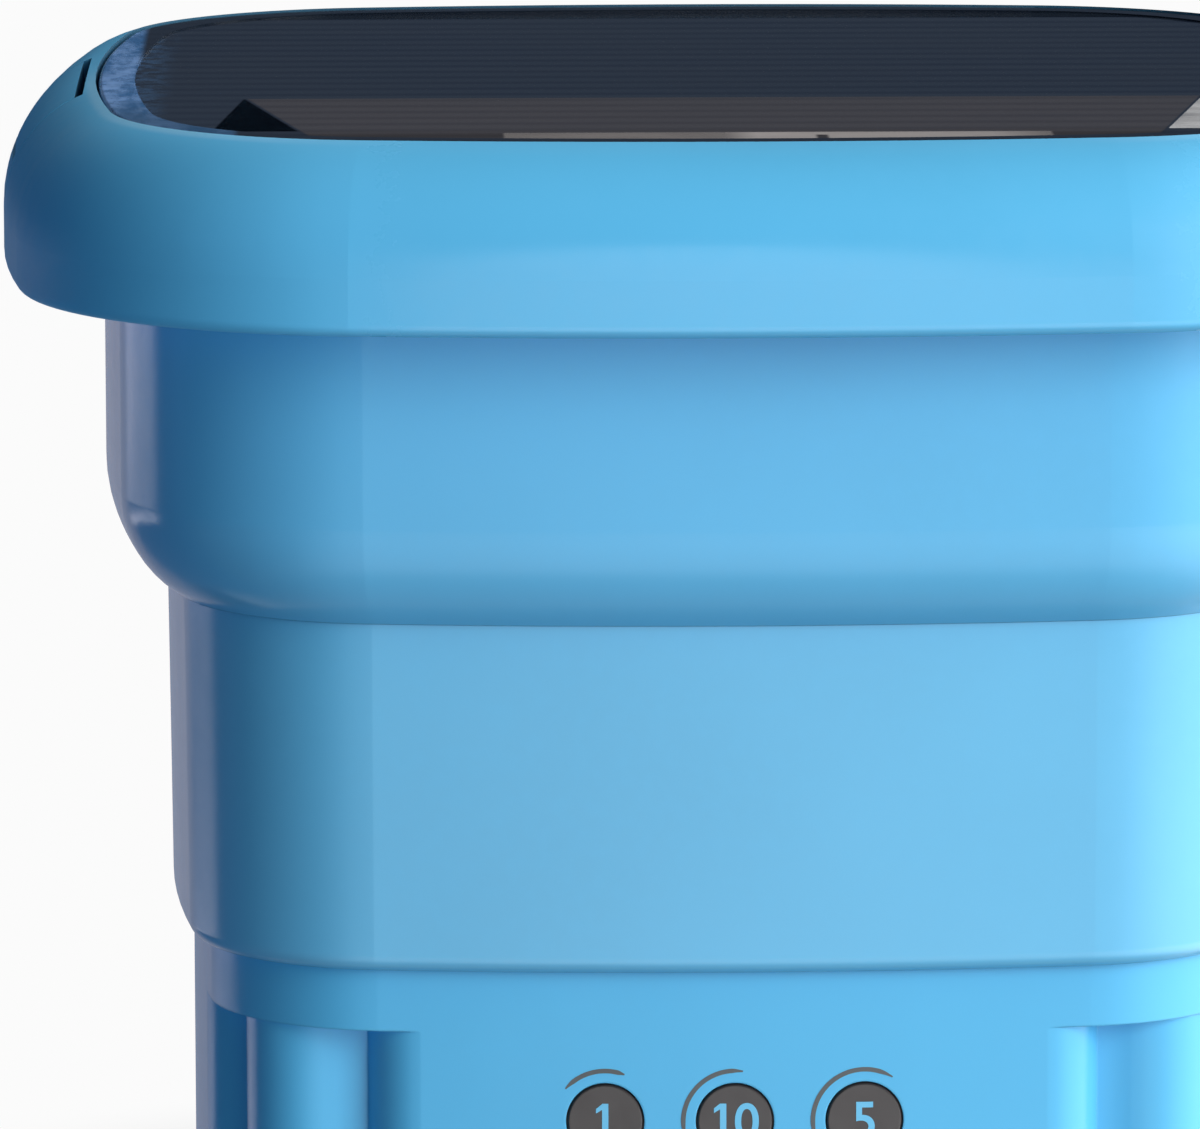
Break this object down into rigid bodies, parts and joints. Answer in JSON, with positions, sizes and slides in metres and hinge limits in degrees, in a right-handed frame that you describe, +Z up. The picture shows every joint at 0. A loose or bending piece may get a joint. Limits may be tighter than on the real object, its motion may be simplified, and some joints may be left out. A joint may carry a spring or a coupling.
{
  "type": "portable washing machine",
  "caption": "Small folding tub washer in light blue plastic with a smoked lid, stepped soft walls and a fluted base with round keys.",
  "frame": {"origin": "centre of the footprint on the floor", "axes": "+Z up, -Y towards the user and the keys, +X to the user's right"},
  "size_m": [0.28, 0.28, 0.2565],
  "materials": {
    "shell": "satin light blue, moulded",
    "rim": "glossy light blue, moulded",
    "soft_wall": "satin light blue elastomer",
    "tub": "satin pale grey",
    "pulsator": "satin near white",
    "stopper": "soft grey",
    "smoked": "smoked clear plastic, polished",
    "key": "black, lightly glossy",
    "cover": "fine grain",
    "foot": "matt",
    "seal": "matt",
    "bearing": "ground",
    "steel": "plated",
    "shaft": "ground",
    "can": "pressed and plated",
    "stator": "varnished laminations and winding",
    "rotor": "dark lamination",
    "board": "glass laminate",
    "switch": "black, moulded",
    "jack": "black, moulded",
    "lead": "black sheath",
    "pipe": "pale grey, moulded"
  },
  "bodies": {
    "base": {"base_shell": "shell", "base_cover": "cover", "cover_screws": "steel", "foot_back_right": "foot", "foot_back_left": "foot", "foot_front_left": "foot", "foot_front_right": "foot", "inner_tub": "tub", "shaft_seal": "seal", "lower_bearing": "bearing", "upper_bearing": "bearing", "motor_can": "can", "motor_bracket": "can", "motor_screws": "steel", "motor_stator": "stator", "control_board": "board", "key_switches": "switch", "board_screws": "steel", "board_connectors": "switch", "power_jack": "jack", "power_lead": "lead", "motor_lead": "lead", "drain_gasket": "seal", "drain_elbow": "pipe", "drain_spigot": "pipe"},
    "rim": {"rim_shell": "rim", "rim_under_ring": "shell", "rim_screws": "steel", "upper_wall": "soft_wall", "handle_pins": "steel"},
    "sleeve": {"middle_wall": "soft_wall"},
    "handle": {"carry_handle": "rim"},
    "lid": {"lid_frame": "rim", "lid_window": "smoked", "lid_gasket": "seal"},
    "drive": {"motor_rotor": "rotor", "drive_shaft": "shaft", "pulsator": "pulsator", "cap_screw": "pulsator"},
    "stopper": {"drain_stopper": "stopper"},
    "button_1": {"key_1": "key"},
    "button_10": {"key_10": "key"},
    "button_5": {"key_5": "key"}
  },
  "joints": [
    {"name": "rim_fold", "type": "slide", "parent": "base", "child": "rim", "axis": [0, 0, -1], "range_m": [0, 0.134]},
    {"name": "sleeve_fold", "type": "slide", "parent": "base", "child": "sleeve", "axis": [0, 0, -1], "range_m": [0, 0.067]},
    {"name": "lid_lift", "type": "slide", "parent": "rim", "child": "lid", "axis": [0, 0, 1], "range_m": [0, 0.05]},
    {"name": "handle_swing", "type": "hinge", "parent": "rim", "child": "handle", "pos_m": [-0.1354, 0, 0.2306], "axis": [0, -1, 0], "range_deg": [0, 90]},
    {"name": "drive_spin", "type": "hinge", "parent": "base", "child": "drive", "pos_m": [0, 0, 0.0925], "axis": [0, 0, 1], "continuous": true},
    {"name": "stopper_lift", "type": "slide", "parent": "base", "child": "stopper", "axis": [0, 0, 1], "range_m": [0, 0.03]},
    {"name": "press_1", "type": "slide", "parent": "base", "child": "button_1", "axis": [0.0469, 0.9989, 0], "range_m": [0, 0.0008], "stiffness_N_per_m": 800},
    {"name": "press_10", "type": "slide", "parent": "base", "child": "button_10", "axis": [0, 1, 0], "range_m": [0, 0.0008], "stiffness_N_per_m": 800},
    {"name": "press_5", "type": "slide", "parent": "base", "child": "button_5", "axis": [-0.0469, 0.9989, 0], "range_m": [0, 0.0008], "stiffness_N_per_m": 800}
  ],
  "couplings": [
    {"joint": "sleeve_fold", "follows": "rim_fold", "ratio": 0.5}
  ]
}
